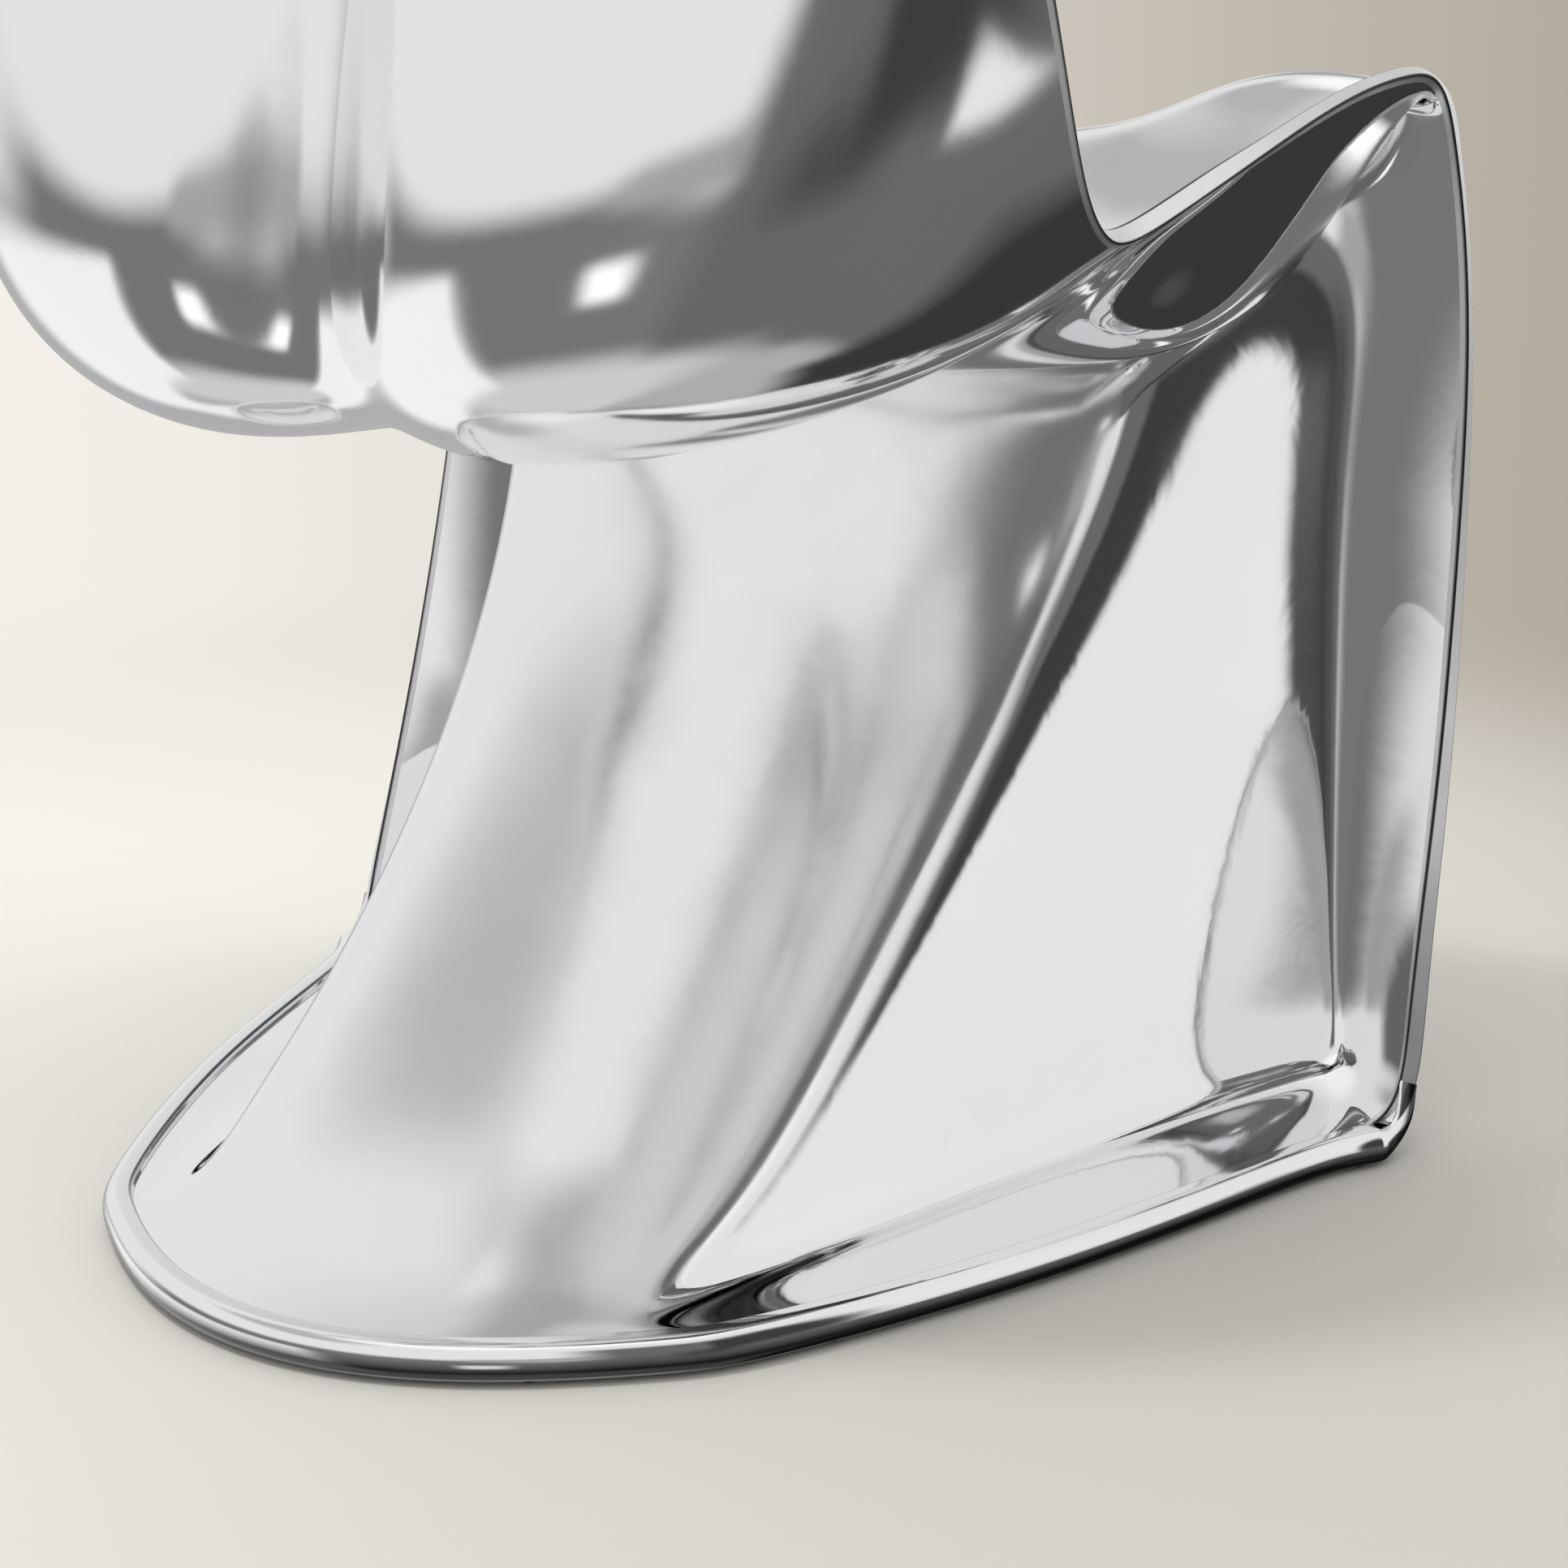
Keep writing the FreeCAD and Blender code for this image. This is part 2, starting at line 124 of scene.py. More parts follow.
def station_net():
    """Control points of both halves, with one more row and column beyond each edge of the ribbon."""
    half = [seat_section(*s) for s in SEAT_STATIONS] + [leg_section(*s) for s in LEG_STATIONS]
    rows = []
    for section in half:
        row = [(-x, y - MIDDLE_Y, z) for x, y, z in reversed(section[1:])]
        row += [(x, y - MIDDLE_Y, z) for x, y, z in section]
        rows.append([mix(row[1], row[0], BEYOND)] + row + [mix(row[-2], row[-1], BEYOND)])
    before = [mix(b, a, BEYOND) for a, b in zip(rows[0], rows[1])]
    after = [mix(b, a, BEYOND) for a, b in zip(rows[-1], rows[-2])]
    return np.array([before] + rows + [after])


NET = station_net()


def unit(vectors):
    return vectors / np.maximum(np.linalg.norm(vectors, axis=-1, keepdims=True), 1e-12)


def basis(t):
    """The four weights of a uniform cubic B-spline, and their slopes."""
    s = 1.0 - t
    value = np.stack([s ** 3 / 6, (3 * t ** 3 - 6 * t * t + 4) / 6,
                      (3 * s ** 3 - 6 * s * s + 4) / 6, t ** 3 / 6])
    slope = np.stack([-s * s / 2, (3 * t * t - 4 * t) / 2, (-3 * s * s + 4 * s) / 2, t * t / 2])
    return value, slope


def ribbon(v, u):
    """Points of the rear face, unit normals into the sheet, and slopes down and across."""
    v, u = np.broadcast_arrays(np.asarray(v, float), np.asarray(u, float))
    i = np.clip(np.floor(v), 0, FOOT - 1).astype(int)
    j = np.clip(np.floor(u + RIM), 0, 2 * RIM - 1).astype(int)
    v_value, v_slope = basis(v - i)
    u_value, u_slope = basis(u + RIM - j)
    point = np.zeros(v.shape + (3,))
    down = np.zeros_like(point)
    across = np.zeros_like(point)
    for a in range(4):
        for b in range(4):
            control = NET[i + a, j + b]
            point += control * (v_value[a] * u_value[b])[..., None]
            down += control * (v_slope[a] * u_value[b])[..., None]
            across += control * (v_value[a] * u_slope[b])[..., None]
    return point, unit(np.cross(down, across)), down, across


def inner_limit(v):
    """Where across the ribbon the side band begins."""
    return RIM - BAND / np.linalg.norm(ribbon(v, RIM)[3], axis=-1)


def top_v(u):
    """Where down the ribbon the top band ends."""
    return BAND / np.linalg.norm(ribbon(0.0, u)[2], axis=-1)


def spread(low, high):
    return np.linspace(low, high, max(2, int(round(abs(high - low) * STEPS)) + 1))


# ---- meshes
WELD_DECIMALS = 4       # points that agree to this many decimals of a millimetre become one


def grid_faces(rows, columns):
    k = np.arange(rows * columns).reshape(rows, columns)
    return np.stack([k[:-1, :-1], k[:-1, 1:], k[1:, 1:], k[1:, :-1]], -1).reshape(-1, 4)


def mesh_piece(name, sheets, material, painted_shade=(0.0,)):
    """One closed object from several grids: (points in mm, normals or None for flat faces).
    The painted shade, 0 to 1, darkens the columns of the first grid, where the metal meets a seam or the
    floor."""
    points, normals, faces = [], [], []
    start = 0
    for grid, normal in sheets:
        rows, columns = grid.shape[:2]
        quads = grid_faces(rows, columns)
        points.append(grid.reshape(-1, 3))
        corners = grid.reshape(-1, 3)[quads]
        if normal is None:
            flat = unit(np.cross(corners[:, 2] - corners[:, 0], corners[:, 3] - corners[:, 1]))
            normals.append(np.repeat(flat[:, None], 4, 1))
        else:
            normals.append(normal.reshape(-1, 3)[quads])
        faces.append(quads + start)
        start += rows * columns
    points = np.concatenate(points)
    _, first, welded = np.unique(np.round(points, WELD_DECIMALS), axis=0,
                                 return_index=True, return_inverse=True)
    faces = welded.reshape(-1)[np.concatenate(faces)]
    normals = np.concatenate(normals)
    mesh = bpy.data.meshes.new(name)
    mesh.from_pydata((points[first] * MM).tolist(), [], faces.tolist())
    shape = bmesh.new()
    shape.from_mesh(mesh)
    bmesh.ops.recalc_face_normals(shape, faces=shape.faces)
    shape.to_mesh(mesh)
    shape.free()
    mesh.polygons.foreach_set("use_smooth", np.ones(len(mesh.polygons), bool))
    mesh.update()
    set_corner_normals(mesh, faces, normals)
    in_first_grid = first < sheets[0][0][..., 0].size
    shades = mesh.attributes.new("painted_shade", "FLOAT", "POINT")
    shades.data.foreach_set("value", np.resize(painted_shade, len(points))[first] * in_first_grid)
    mesh.materials.append(material)
    piece = bpy.data.objects.new(name, mesh)
    bpy.context.scene.collection.objects.link(piece)
    return piece


def set_corner_normals(mesh, faces, normals):
    """Gives each face corner its own normal, turned to the side that the face looks to."""
    corner = np.empty(len(mesh.loops), np.int32)
    mesh.loops.foreach_get("vertex_index", corner)
    corner = corner.reshape(-1, 4)
    source = np.argmax(corner[:, :, None] == faces[:, None, :], axis=2)
    chosen = np.take_along_axis(normals, source[:, :, None], axis=1)
    facing = np.empty(len(mesh.polygons) * 3, np.float32)
    mesh.polygons.foreach_get("normal", facing)
    side = np.sign(np.sum(chosen * facing.reshape(-1, 1, 3), axis=-1, keepdims=True))
    mesh.normals_split_custom_set((chosen * np.where(side == 0, 1, side)).reshape(-1, 3).tolist())


def placed(piece, node):
    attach(piece, "root")
    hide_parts(node)
    return piece


def walls(near, far):
    """The four side walls between two grids of the same layout."""
    sides = [(near[0], far[0]), (near[-1], far[-1]), (near[:, 0], far[:, 0]), (near[:, -1], far[:, -1])]
    return [(np.stack(pair), None) for pair in sides]


def end_caps(grid):
    """Flat ends for a bar whose sections are closed rows of an even number of points."""
    half = grid.shape[1] // 2
    return [(np.stack([grid[end][:half], grid[end][::-1][:half]]), None) for end in (0, -1)]


def panel_grid(v_range, u_range):
    """Places down and across the ribbon for a skin, which stops where the bands begin."""
    low, high = u_range
    v = spread(*v_range)[:, None]
    u = spread(low, high)[None, :]
    if v_range[0] == 0:
        start = top_v(u)
        v = start + v * (1 - start / v_range[1])
    limit = inner_limit(np.broadcast_to(v, (v.shape[0], u.shape[1])))
    a = np.clip(low, -limit, limit)
    b = np.clip(high, -limit, limit)
    return v, a + (b - a) * (u - low) / (high - low)


def skin_panel(node, v_range, u_range, front, material):
    """A skin whose outer face is the ribbon's front or rear face."""
    point, inward, _, _ = ribbon(*panel_grid(v_range, u_range))
    outer = point + inward * (SHEET if front else 0.0)
    inner = point + inward * (SHEET - SKIN if front else SKIN)
    facing = inward if front else -inward
    sheets = [(outer, facing), (inner, -facing)] + walls(outer, inner)
    return placed(mesh_piece(f"{node}_polished", sheets, material), node)


HAIRLINE = 2.0                  # from the ribbon's edge in to where the painted shade line on the fillet fades out
FILLET_TURNS = np.linspace(0, pi / 2, 5)
EDGE_SHADE = [0.0, 0.0, 0.85, 1.0, 1.0, 0.8, 0.0]       # painted shade: a dark line on one fillet, from the face to the edge
EDGE_SHADE += EDGE_SHADE[::-1]


def edge_profile():
    """The edge band's section: inset from the edge, depth, and the normal's outward and inward shares."""
    profile = [(BAND, 0.0, 0.0, -1.0), (HAIRLINE, 0.0, 0.0, -1.0)]
    profile += [(ROUND * (1 - sin(t)), ROUND * (1 - cos(t)), sin(t), -cos(t)) for t in FILLET_TURNS]
    profile += [(ROUND * (1 - cos(t)), SHEET - ROUND * (1 - sin(t)), cos(t), sin(t)) for t in FILLET_TURNS]
    profile += [(HAIRLINE, SHEET, 0.0, 1.0), (BAND, SHEET, 0.0, 1.0)]
    return profile


def edge_band(node, lines, material):
    """A band swept along an edge: for each place on the profile, a line of points with the direction
    into the sheet, the direction along the edge and the one away from the sheet."""
    points, normals = [], []
    for (_, depth, out_share, in_share), (point, inward, along, away) in zip(edge_profile(), lines):
        out = unit(np.cross(along, inward))
        out *= np.sign(np.sum(out * away, axis=-1, keepdims=True))
        points.append(point + inward * depth)
        normals.append(out * out_share + inward * in_share)
    grid = np.stack(points, 1)
    inner_wall = np.stack([grid[:, 0], grid[:, -1]], 1)
    sheets = [(grid, np.stack(normals, 1)), (inner_wall, None)] + end_caps(grid)
    return placed(mesh_piece(f"{node}_polished", sheets, material, EDGE_SHADE), node)


def side_band(node, v_range, side, material):
    v = spread(*v_range)
    length = np.linalg.norm(ribbon(v, side * RIM)[3], axis=-1)
    lines = []
    for inset, *_ in edge_profile():
        point, inward, down, across = ribbon(v, side * (RIM - inset / length))
        lines.append((point, inward, down, across * side))
    return edge_band(node, lines, material)


def top_band(node, material):
    limit = float(inner_limit(np.array(0.0)))
    u = spread(-limit, limit)
    length = np.linalg.norm(ribbon(0.0, u)[2], axis=-1)
    lines = []
    for inset, *_ in edge_profile():
        point, inward, down, across = ribbon(inset / length, u)
        lines.append((point, inward, across, -down))
    return edge_band(node, lines, material)


RAIL_TURNS = np.linspace(-pi / 2, pi / 2, 26)      # round the rail's outer side, from bottom to top
ARM_SECTIONS, FOOT_SECTIONS = 60, 420              # along each tip and along the foot
SMOOTHING = 15                                     # sections that the rail's direction is averaged over
RAIL_ROUNDNESS = 0.8                               # 1 for an ellipse, less for a squarer bulge
TIP_FILLET, FILLET_GROWTH = 0.2, 1.0               # fillet at the tips, and what it gains along the foot
UNDERSIDE_SHADE, SHADE_REACH = 0.94, 0.6           # painted shade on the underside, for the floor's contact shadow seen in the metal, and how soft its upper limit is
SEAM_SHADE = [0.0, 0.7, 0.9, 0.7, 0.0]             # painted shade: a dark line along the rail's top fillet


def rail_sections():
    """Sections of the foot rail, whose last point is the first one again."""
    corner = np.linspace(TIP_V, FOOT, ARM_SECTIONS)
    across = np.linspace(-RIM, RIM, FOOT_SECTIONS)[1:-1]
    v = np.concatenate([corner, np.full(across.shape, float(FOOT)), corner[::-1]])
    u = np.concatenate([np.full(corner.shape, -float(RIM)), across, np.full(corner.shape, float(RIM))])
    point, inward, _, _ = ribbon(v, u)
    along = unit(np.gradient(point, axis=0))
    window = np.hanning(SMOOTHING) / np.hanning(SMOOTHING).sum()
    margin = SMOOTHING // 2
    padded = np.concatenate([np.repeat(along[:1], margin, 0), along, np.repeat(along[-1:], margin, 0)])
    along = unit(np.stack([np.convolve(padded[:, k], window, "valid") for k in range(3)], -1))
    share = ((FOOT - v) / (FOOT - TIP_V))[:, None]
    turn = share * share * (3 - 2 * share)
    up = unit(np.array([0.0, 0.0, 1.0]) * (1 - turn) - inward * turn)
    out = unit(np.cross(up, along))
    height = point[:, 2:3]
    bottom = (FOOT_LIFT - height) * (1 - turn) - SHEET * turn
    top = (RAIL_TOP - height) * (1 - turn)
    width = RAIL_WIDTH * (1 - turn) + RAIL_TIP_WIDTH * turn
    fillet = TIP_FILLET + FILLET_GROWTH * (1 - turn)
    columns = [point + up * bottom]
    for angle in RAIL_TURNS:
        reach = width * (RAIL_FLAT + (1 - RAIL_FLAT) * max(0.0, cos(angle)) ** RAIL_ROUNDNESS)
        columns.append(point + out * reach + up * ((bottom + top) / 2 + (top - bottom) / 2 * sin(angle)))
    for angle in FILLET_TURNS:
        columns.append(point + out * fillet * (1 - sin(angle)) + up * (top - fillet * (1 - cos(angle))))
    columns.append(point + up * bottom)
    return np.stack(columns, 1)


def foot_rail(node, material):
    grid = rail_sections()
    normal = unit(np.cross(np.gradient(grid, axis=0), np.gradient(grid, axis=1)))
    sheets = [(grid[:, :-1], normal[:, :-1]), (grid[:, -2:], None)] + end_caps(grid[:, :-1])
    # painted shade: the rail's underside darkens towards the floor
    under = [UNDERSIDE_SHADE * min(1.0, max(0.0, 0.5 - sin(t) / SHADE_REACH)) for t in RAIL_TURNS]
    painted_shade = [UNDERSIDE_SHADE] + under + SEAM_SHADE
    return placed(mesh_piece(f"{node}_polished", sheets, material, painted_shade), node)


# ---- materials
NOISE_LOW, NOISE_HIGH = 0.3, 0.7        # where most of a noise's values lie
DARK_STOP, LIGHT_STOP = 0.35, 0.65      # noise values that give the pure dark and the pure light tone
PAINTED_SHADE_TONE = (0.02, 0.02, 0.02)          # painted shade: the metal's colour where its shade is 1
GRAIN = 0.0000015                       # depth of the finest scratches, in metres


class Graph:
    """Small sums written as shader nodes."""

    def __init__(self, tree):
        self.tree = tree

    def feed(self, socket, value):
        """Sets a number or a colour, or links another node's output."""
        if isinstance(value, (int, float)):
            socket.default_value = value
        elif isinstance(value, tuple):
            socket.default_value = (*value, 1)
        else:
            self.tree.links.new(value, socket)

    def math(self, operation, *values):
        node = self.tree.nodes.new("ShaderNodeMath")
        node.operation = operation
        for socket, value in zip(node.inputs, values):
            self.feed(socket, value)
        return node.outputs[0]

    def degrees_off(self, azimuth, centre):
        """How far an azimuth lies from a centre, from -180 to 180."""
        return self.math("WRAP", self.math("SUBTRACT", azimuth, centre), 180.0, -180.0)

    def step(self, value, low, high):
        """0 below low, 1 above high, smooth between."""
        node = self.tree.nodes.new("ShaderNodeMapRange")
        node.interpolation_type = "SMOOTHSTEP"
        node.inputs["From Min"].default_value = low
        node.inputs["From Max"].default_value = high
        self.feed(node.inputs["Value"], value)
        return node.outputs["Result"]

    def blend(self, share, a, b):
        node = self.tree.nodes.new("ShaderNodeMix")
        self.feed(node.inputs["Factor"], share)
        self.feed(node.inputs["A"], a)
        self.feed(node.inputs["B"], b)
        return node.outputs["Result"]

    def colour_blend(self, share, a, b):
        node = self.tree.nodes.new("ShaderNodeMix")
        node.data_type = "RGBA"
        self.feed(node.inputs["Factor"], share)
        self.feed(node.inputs["A"], a)
        self.feed(node.inputs["B"], b)
        return [o for o in node.outputs if o.type == "RGBA"][0]


def new_material(name):
    material = bpy.data.materials.new(name)
    material.use_nodes = True
    nodes = material.node_tree.nodes
    return material, material.node_tree, nodes["Principled BSDF"]


def object_noise(tree, scale, detail, roughness=0.5, distortion=0.0):
    coordinates = tree.nodes.new("ShaderNodeTexCoord")
    noise = tree.nodes.new("ShaderNodeTexNoise")
    noise.inputs["Scale"].default_value = scale
    noise.inputs["Detail"].default_value = detail
    noise.inputs["Roughness"].default_value = roughness
    noise.inputs["Distortion"].default_value = distortion
    tree.links.new(coordinates.outputs["Object"], noise.inputs["Vector"])
    return noise.outputs["Fac"]


def remap(tree, value, low, high):
    """Spreads the noise's usual range over low to high."""
    node = tree.nodes.new("ShaderNodeMapRange")
    node.inputs["From Min"].default_value = NOISE_LOW
    node.inputs["From Max"].default_value = NOISE_HIGH
    node.inputs["To Min"].default_value = low
    node.inputs["To Max"].default_value = high
    tree.links.new(value, node.inputs["Value"])
    return node.outputs["Result"]


def two_tone(tree, value, dark, light):
    ramp = tree.nodes.new("ShaderNodeValToRGB")
    ramp.color_ramp.elements[0].position = DARK_STOP
    ramp.color_ramp.elements[0].color = (*dark, 1)
    ramp.color_ramp.elements[1].position = LIGHT_STOP
    ramp.color_ramp.elements[1].color = (*light, 1)
    tree.links.new(value, ramp.inputs["Fac"])
    return ramp.outputs["Color"]


def bumped(tree, shader, layers):
    """Adds bump layers (height, distance in metres) one after another."""
    previous = None
    for height, distance in layers:
        bump = tree.nodes.new("ShaderNodeBump")
        bump.inputs["Strength"].default_value = 1.0
        bump.inputs["Distance"].default_value = distance
        tree.links.new(height, bump.inputs["Height"])
        if previous:
            tree.links.new(previous, bump.inputs["Normal"])
        previous = bump.outputs["Normal"]
    tree.links.new(previous, shader.inputs["Normal"])


def polished_metal(name, dark, light, roughness, wave, ripple):
    """Polished aluminium: a faint swell left by the polishing, and hazier patches where hands touch."""
    material, tree, shader = new_material(name)
    shader.inputs["Metallic"].default_value = 1.0
    tone = two_tone(tree, object_noise(tree, scale=7.0, detail=3.0), dark, light)
    # painted shade: the shade attribute darkens the base colour at seams and on the rail's underside
    painted_shade = tree.nodes.new("ShaderNodeAttribute")
    painted_shade.attribute_name = "painted_shade"
    with_painted_shade = Graph(tree).colour_blend(painted_shade.outputs["Fac"], tone, PAINTED_SHADE_TONE)
    tree.links.new(with_painted_shade, shader.inputs["Base Color"])
    haze = object_noise(tree, scale=26.0, detail=6.0, roughness=0.6)
    tree.links.new(remap(tree, haze, *roughness), shader.inputs["Roughness"])
    swell = object_noise(tree, scale=8.0, detail=1.0, roughness=0.4, distortion=0.6)
    grain = object_noise(tree, scale=900.0, detail=2.0)
    flutter = object_noise(tree, scale=34.0, detail=2.0, roughness=0.5, distortion=0.8)
    bumped(tree, shader, [(swell, wave), (flutter, ripple), (grain, GRAIN)])
    return material


def plain_finish(name, dark, light, metallic, roughness, scale, depth):
    """A two-tone finish, whose tone, haze and bump get finer one after another."""
    material, tree, shader = new_material(name)
    shader.inputs["Metallic"].default_value = metallic
    tone = two_tone(tree, object_noise(tree, scale, detail=5.0), dark, light)
    tree.links.new(tone, shader.inputs["Base Color"])
    haze = object_noise(tree, scale * 4, detail=4.0)
    tree.links.new(remap(tree, haze, *roughness), shader.inputs["Roughness"])
    bumped(tree, shader, [(object_noise(tree, scale * 6, detail=3.0), depth)])
    return material


DARK_TONE, LIGHT_TONE = (0.885, 0.89, 0.897), (0.905, 0.91, 0.917)
BACK_METAL = polished_metal("polished back", DARK_TONE, LIGHT_TONE, (0.07, 0.11), 0.0012, 0.00004)
SKIN_METAL = polished_metal("polished skin", DARK_TONE, LIGHT_TONE, (0.025, 0.05), 0.0007, 0.00004)
LEG_METAL = polished_metal("polished leg", DARK_TONE, LIGHT_TONE, (0.13, 0.20), 0.0008, 0.00005)
FLANK_METAL = polished_metal("polished flank", DARK_TONE, LIGHT_TONE, (0.05, 0.08), 0.0006, 0.00012)
# the edges' tone, lighter than the other aluminium, is a painted highlight; their higher roughness is a
# real satin finish
SATIN_EDGE_WITH_PAINTED_HIGHLIGHT = polished_metal("satin edge", (0.95, 0.952, 0.955), (0.97, 0.972, 0.975),
                            (0.42, 0.52), 0.0002, 0.00002)
RAIL_METAL = polished_metal("polished rail", DARK_TONE, LIGHT_TONE, (0.03, 0.06), 0.0002, 0.00002)
CORE_FOAM = plain_finish("bonded core", (0.50, 0.44, 0.32), (0.62, 0.56, 0.42),
                         0.0, (0.7, 0.9), 60.0, 0.0003)
PLATE_STEEL = plain_finish("brushed plate", (0.50, 0.51, 0.53), (0.62, 0.63, 0.65),
                           1.0, (0.25, 0.42), 40.0, 0.00005)
SCREW_STEEL = plain_finish("zinc screw", (0.46, 0.46, 0.48), (0.60, 0.60, 0.62),
                           1.0, (0.3, 0.5), 90.0, 0.00005)
INSERT_BRASS = plain_finish("brass insert", (0.62, 0.44, 0.17), (0.78, 0.58, 0.26),
                            1.0, (0.25, 0.45), 90.0, 0.00005)
GLIDE_BLACK = plain_finish("black glide", (0.016, 0.016, 0.017), (0.035, 0.035, 0.037),
                           0.0, (0.5, 0.75), 160.0, 0.0001)
CARRIED_OVER = {
    "back_core": CORE_FOAM, "seat_core": CORE_FOAM, "front_lip_core": CORE_FOAM, "leg_core": CORE_FOAM,
    "left_leg_core": CORE_FOAM, "right_leg_core": CORE_FOAM, "left_floor_plate": PLATE_STEEL,
    "right_floor_plate": PLATE_STEEL, "rear_floor_plate": PLATE_STEEL, "plate_screws": SCREW_STEEL,
    "threaded_inserts": INSERT_BRASS, "glides": GLIDE_BLACK,
}
for node, material in CARRIED_OVER.items():
    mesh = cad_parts[node].data
    mesh.materials.clear()
    mesh.materials.append(material)


# ---- the chair's visible pieces
WHOLE = (-RIM, RIM)
BETWEEN_RIDGES = (-RIDGE, RIDGE)


def on_side(side, low, high):
    """A range across the ribbon's left half, or the same range on the right half."""
    return (low, high) if side > 0 else (-high, -low)


skin_panel("back_rear_skin", (0, WAIST_V), WHOLE, False, BACK_METAL)
skin_panel("back_front_skin", (0, WAIST_V), WHOLE, True, BACK_METAL)
skin_panel("seat_under_skin", (SEAT_V, LIP), WHOLE, False, SKIN_METAL)
skin_panel("seat_top_skin", (WAIST_V, LIP_SEAM), WHOLE, True, SKIN_METAL)
skin_panel("front_lip_skin", (LIP_SEAM, UNDER_LIP), WHOLE, True, SKIN_METAL)
skin_panel("leg_rear_skin", (LIP, FOOT), BETWEEN_RIDGES, False, LEG_METAL)
skin_panel("leg_front_skin", (UNDER_LIP, FOOT), BETWEEN_RIDGES, True, SKIN_METAL)
for name, side in (("left", 1), ("right", -1)):
    lobe = on_side(side, 0, RIM)
    flank = on_side(side, RIDGE, VALLEY)
    flange = on_side(side, VALLEY, RIM)
    column = on_side(side, RIDGE, RIM)
    skin_panel(f"{name}_lobe_skin", (WAIST_V, SEAT_V), lobe, False, BACK_METAL)
    skin_panel(f"{name}_flank_skin", (LIP, FOOT_VALLEY), flank, False, FLANK_METAL)
    skin_panel(f"{name}_flange_skin", (LIP, FOOT_VALLEY), flange, False, SKIN_METAL)
    skin_panel(f"{name}_foot_flange", (FOOT_VALLEY, FOOT), column, False, SKIN_METAL)
    skin_panel(f"{name}_leg_inner_skin", (UNDER_LIP, FOOT), column, True, SKIN_METAL)
    side_band(f"{name}_side_band", (0, LIP), side, SATIN_EDGE_WITH_PAINTED_HIGHLIGHT)
    side_band(f"{name}_front_band", (LIP, FOOT), side, SATIN_EDGE_WITH_PAINTED_HIGHLIGHT)
top_band("back_top_band", SATIN_EDGE_WITH_PAINTED_HIGHLIGHT)
foot_rail("foot_rail", RAIL_METAL)


# ---- studio, camera, floor and key light
# The studio round the chair: azimuth from the front (-Y) towards +X, half width and softness in degrees,
# lowest and highest elevation and their softness, and brightness. Later panels lie over earlier ones.
STUDIO_BASE = 0.84
STUDIO = [
    (115, 42, 15, 44, 66, 6, 0.50),       # grey upper wall on the sitter's left
    (10, 30, 10, 20, 50, 7, 0.42),        # grey wall in front of the chair
    (0, 180, 1, -95, -4, 5, 0.46),        # pale floor
    (180, 70, 20, -95, -60, 7, 0.66),     # floor close behind the chair
    (40, 42, 14, -82, -58, 7, 0.95),      # lit floor at the chair's front left corner
    (155, 62, 14, -12, 6, 6, 0.19),       # dark far wall, low down
    (212, 11, 5, 0, 11, 4, 0.40),         # grey patch low on the wall behind the chair
    (112, 46, 7, -64, -9, 4, 0.97),       # floor under the key light
    (204, 43, 9, -54, -6, 6, 0.19),       # floor in shade behind the chair
    (250, 28, 5, -58, 44, 8, 0.15),       # unlit side of the studio
    (288, 26, 8, -58, -13, 4, 0.15),      # floor in shade on the sitter's right
    (246, 12, 8, -16, 4, 8, 0.08),        # darker foot of the unlit side
    (262, 14, 4, -6, 34, 7, 0.05),        # black flag beside the strip softbox
    (345, 38, 8, -66, -6, 4, 0.04),       # dark floor in front of the chair
    (289, 12, 2.5, -12, 30, 3, 0.86),     # tall strip softbox
    (205, 5, 3, -29, -15, 4, 1.2),        # small softbox near the floor
    (0, 180, 1, 66, 95, 8, 1.05),         # ceiling panel
]
DIFFUSE_SHARE = 1.45                      # how much of the studio lights the floor
BACKDROP_AZIMUTH = 30.8
BACKDROP_CREAM, BACKDROP_TAUPE = (0.905, 0.875, 0.82), (0.435, 0.39, 0.325)
CREAM_BEGINS, CREAM_ENDS = (-16.0, 14.0), (168.0, 180.0)      # degrees from the backdrop's azimuth
CAMERA_AZIMUTH, CAMERA_ELEVATION = radians(210.8144), radians(14.9291)
CAMERA_PLACE = Vector((-0.83872, 1.28726, 0.57905))
LENS, SENSOR = 85.0, 36.0
FLOOR_RADIUS, FLOOR_FADE, FLOOR_ROUGHNESS = 3.2, (0.5, 1.3), 0.75
FLOOR_DARK, FLOOR_LIGHT = (0.70, 0.675, 0.62), (0.72, 0.695, 0.64)
FLOOR_SHADED = (0.53, 0.515, 0.465)       # painted shade: the floor towards the sitter's right
SHADE_SCALE, SHADE_FADE = -1.17, (-0.5, 0.7)
KEY_AZIMUTH, KEY_ELEVATION, KEY_DISTANCE = radians(152.0), radians(70.0), 2.6
KEY_SIZE, KEY_POWER = 0.3, 20.0


def direction(azimuth, elevation):
    """The unit vector from the chair, with the azimuth from the front (-Y) towards +X."""
    return Vector((sin(azimuth) * cos(elevation), -cos(azimuth) * cos(elevation), sin(elevation)))


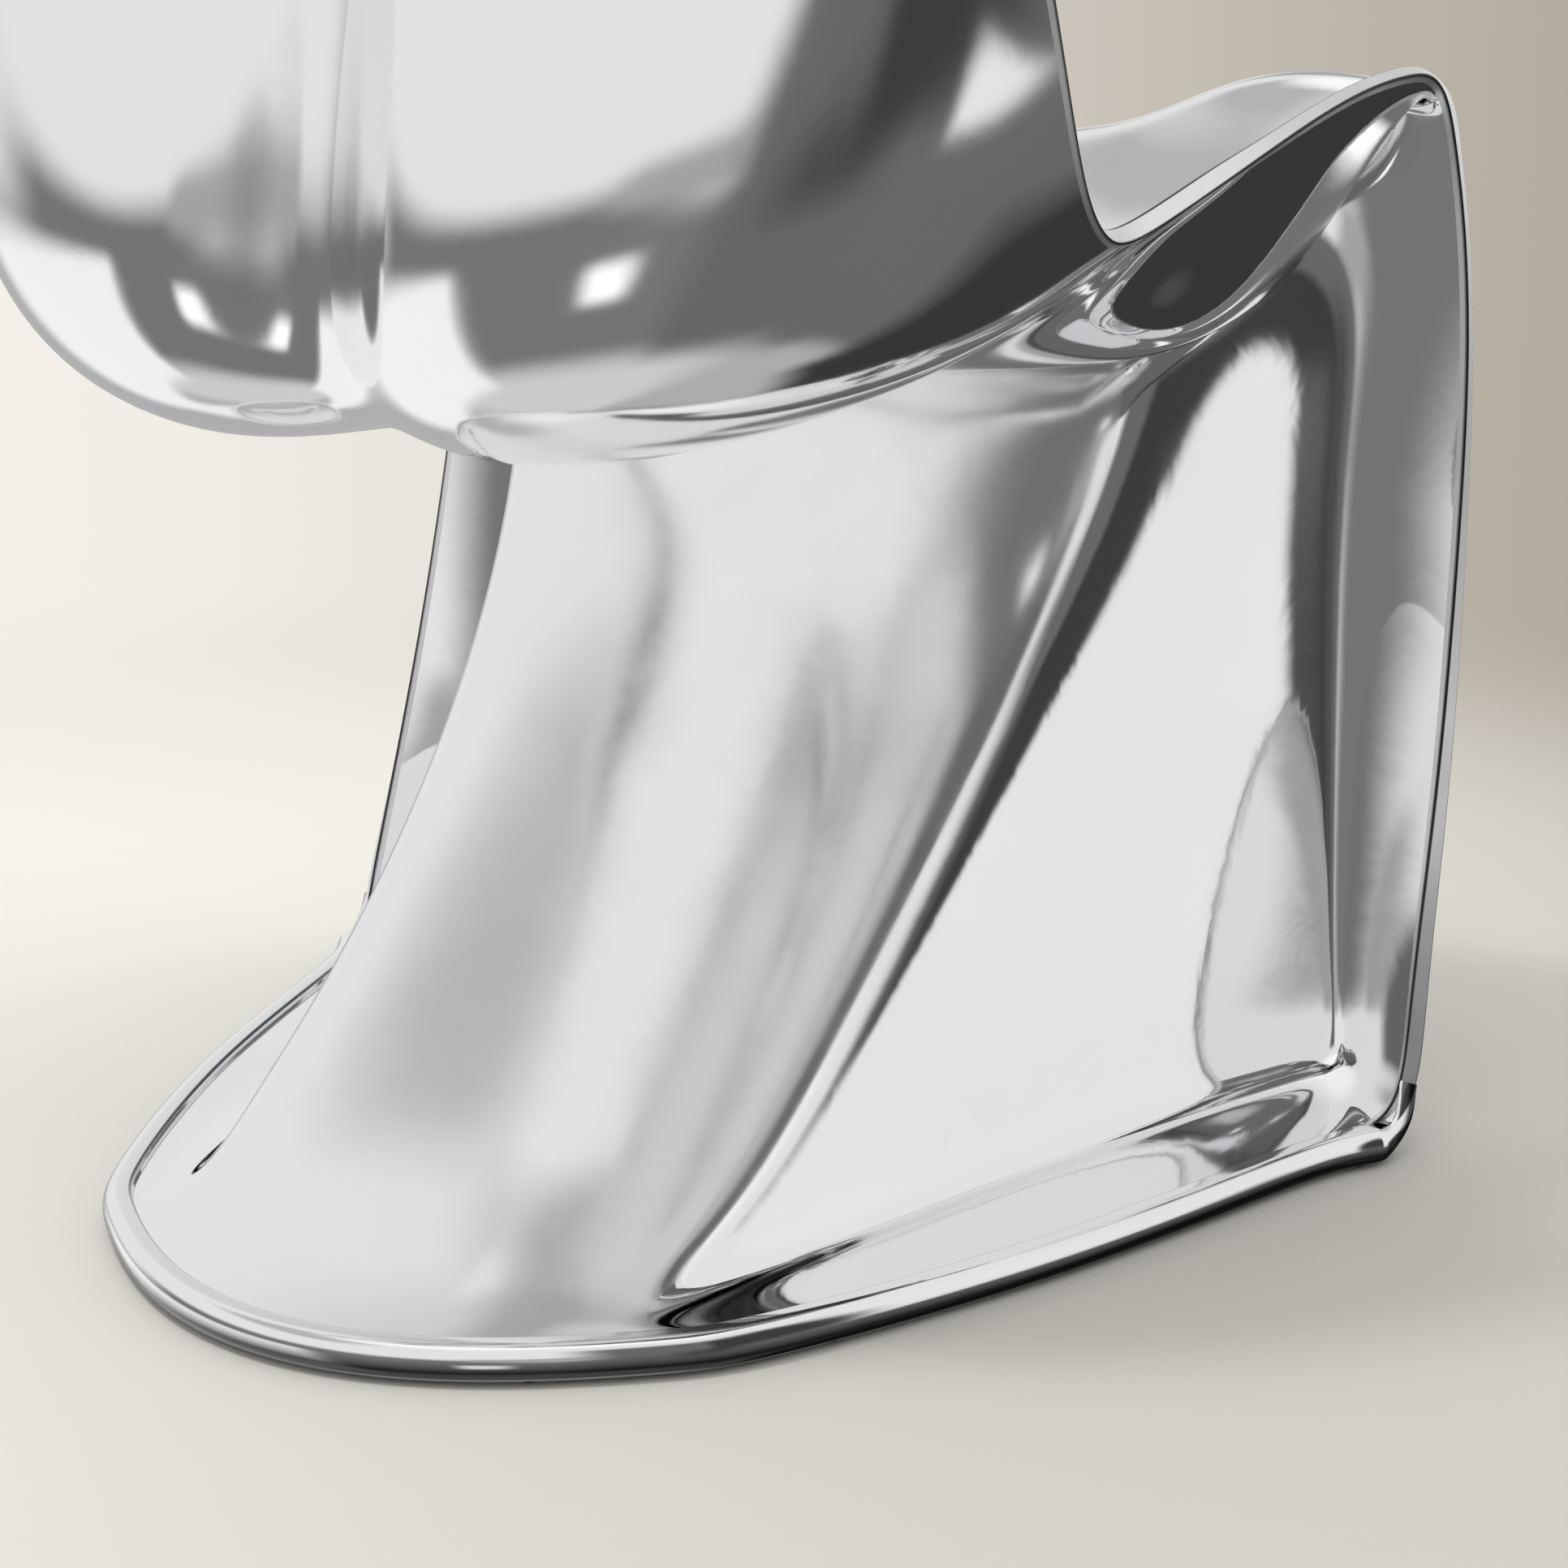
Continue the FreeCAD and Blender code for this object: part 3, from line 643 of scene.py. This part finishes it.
def studio_world():
    world = bpy.data.worlds.new("studio")
    bpy.context.scene.world = world
    world.use_nodes = True
    tree = world.node_tree
    g = Graph(tree)
    coordinates = tree.nodes.new("ShaderNodeTexCoord")
    split = tree.nodes.new("ShaderNodeSeparateXYZ")
    tree.links.new(coordinates.outputs["Generated"], split.inputs[0])
    x, y, z = split.outputs
    azimuth = g.math("DEGREES", g.math("ARCTAN2", x, g.math("MULTIPLY", y, -1.0)))
    elevation = g.math("DEGREES", g.math("ARCSINE", z))
    value = STUDIO_BASE
    for centre, half, soft, low, high, rise, brightness in STUDIO:
        share = g.math("MULTIPLY", g.step(elevation, low - rise, low + rise),
                       g.math("SUBTRACT", 1.0, g.step(elevation, high - rise, high + rise)))
        if half < 180:
            off = g.math("ABSOLUTE", g.degrees_off(azimuth, float(centre)))
            share = g.math("MULTIPLY", share,
                           g.math("SUBTRACT", 1.0, g.step(off, half - soft, half + soft)))
        value = g.blend(share, value, brightness)
    lights = tree.nodes["Background"]
    path = tree.nodes.new("ShaderNodeLightPath")
    tree.links.new(value, lights.inputs["Color"])
    tree.links.new(g.blend(path.outputs["Is Diffuse Ray"], 1.0, DIFFUSE_SHARE), lights.inputs["Strength"])
    # what the camera sees behind the chair: a plain wall, cream on one side and taupe on the other
    off = g.degrees_off(azimuth, BACKDROP_AZIMUTH)
    cream = g.math("MULTIPLY", g.step(off, *CREAM_BEGINS),
                   g.math("SUBTRACT", 1.0, g.step(off, *CREAM_ENDS)))
    wall = g.colour_blend(cream, BACKDROP_TAUPE, BACKDROP_CREAM)
    backdrop = tree.nodes.new("ShaderNodeBackground")
    tree.links.new(wall, backdrop.inputs["Color"])
    chooser = tree.nodes.new("ShaderNodeMixShader")
    tree.links.new(path.outputs["Is Camera Ray"], chooser.inputs[0])
    tree.links.new(lights.outputs[0], chooser.inputs[1])
    tree.links.new(backdrop.outputs[0], chooser.inputs[2])
    tree.links.new(chooser.outputs[0], tree.nodes["World Output"].inputs["Surface"])


studio_world()


def main_camera():
    back = direction(CAMERA_AZIMUTH, CAMERA_ELEVATION)
    right = Vector((0, 0, 1)).cross(back).normalized()
    up = back.cross(right)
    camera = bpy.data.objects.new("camera", bpy.data.cameras.new("camera"))
    camera.matrix_world = Matrix((
        (right.x, up.x, back.x, CAMERA_PLACE.x),
        (right.y, up.y, back.y, CAMERA_PLACE.y),
        (right.z, up.z, back.z, CAMERA_PLACE.z),
        (0, 0, 0, 1)))
    camera.data.lens = LENS
    camera.data.sensor_width = SENSOR
    bpy.context.scene.collection.objects.link(camera)
    bpy.context.scene.camera = camera


main_camera()


def pale_floor():
    """A pale disc that fades into the backdrop away from the chair."""
    mesh = bpy.data.meshes.new("floor")
    shape = bmesh.new()
    bmesh.ops.create_circle(shape, cap_ends=True, segments=96, radius=FLOOR_RADIUS)
    shape.to_mesh(mesh)
    shape.free()
    floor = bpy.data.objects.new("floor", mesh)
    bpy.context.scene.collection.objects.link(floor)
    material, tree, shader = new_material("pale floor")
    shader.inputs["Roughness"].default_value = FLOOR_ROUGHNESS
    tone = two_tone(tree, object_noise(tree, scale=1.6, detail=2.0), FLOOR_DARK, FLOOR_LIGHT)
    g = Graph(tree)
    coordinates = tree.nodes.new("ShaderNodeTexCoord")
    # painted shade: the floor is a little darker towards the sitter's right, the studio's unlit side
    split = tree.nodes.new("ShaderNodeSeparateXYZ")
    tree.links.new(coordinates.outputs["Object"], split.inputs[0])
    aside = g.math("MULTIPLY", split.outputs[0], SHADE_SCALE)
    with_painted_shade = g.colour_blend(g.step(aside, *SHADE_FADE), tone, FLOOR_SHADED)
    tree.links.new(with_painted_shade, shader.inputs["Base Color"])
    length = tree.nodes.new("ShaderNodeVectorMath")
    length.operation = "LENGTH"
    tree.links.new(coordinates.outputs["Object"], length.inputs[0])
    clear = tree.nodes.new("ShaderNodeBsdfTransparent")
    fade = tree.nodes.new("ShaderNodeMixShader")
    tree.links.new(g.step(length.outputs["Value"], *FLOOR_FADE), fade.inputs[0])
    tree.links.new(shader.outputs[0], fade.inputs[1])
    tree.links.new(clear.outputs[0], fade.inputs[2])
    tree.links.new(fade.outputs[0], tree.nodes["Material Output"].inputs["Surface"])
    mesh.materials.append(material)
    floor.visible_glossy = False


pale_floor()


def key_light():
    """The soft light high up behind the chair, on the sitter's left, which casts the floor's shadow."""
    back = direction(KEY_AZIMUTH, KEY_ELEVATION)
    light = bpy.data.lights.new("key softbox", "AREA")
    light.shape = "RECTANGLE"
    light.size, light.size_y = KEY_SIZE, KEY_SIZE
    light.energy = KEY_POWER
    lamp = bpy.data.objects.new("key softbox", light)
    lamp.location = back * KEY_DISTANCE
    lamp.rotation_euler = back.to_track_quat("Z", "Y").to_euler()
    lamp.visible_glossy = False
    lamp.visible_camera = False
    bpy.context.scene.collection.objects.link(lamp)


key_light()
bpy.context.scene.view_settings.view_transform = "Standard"
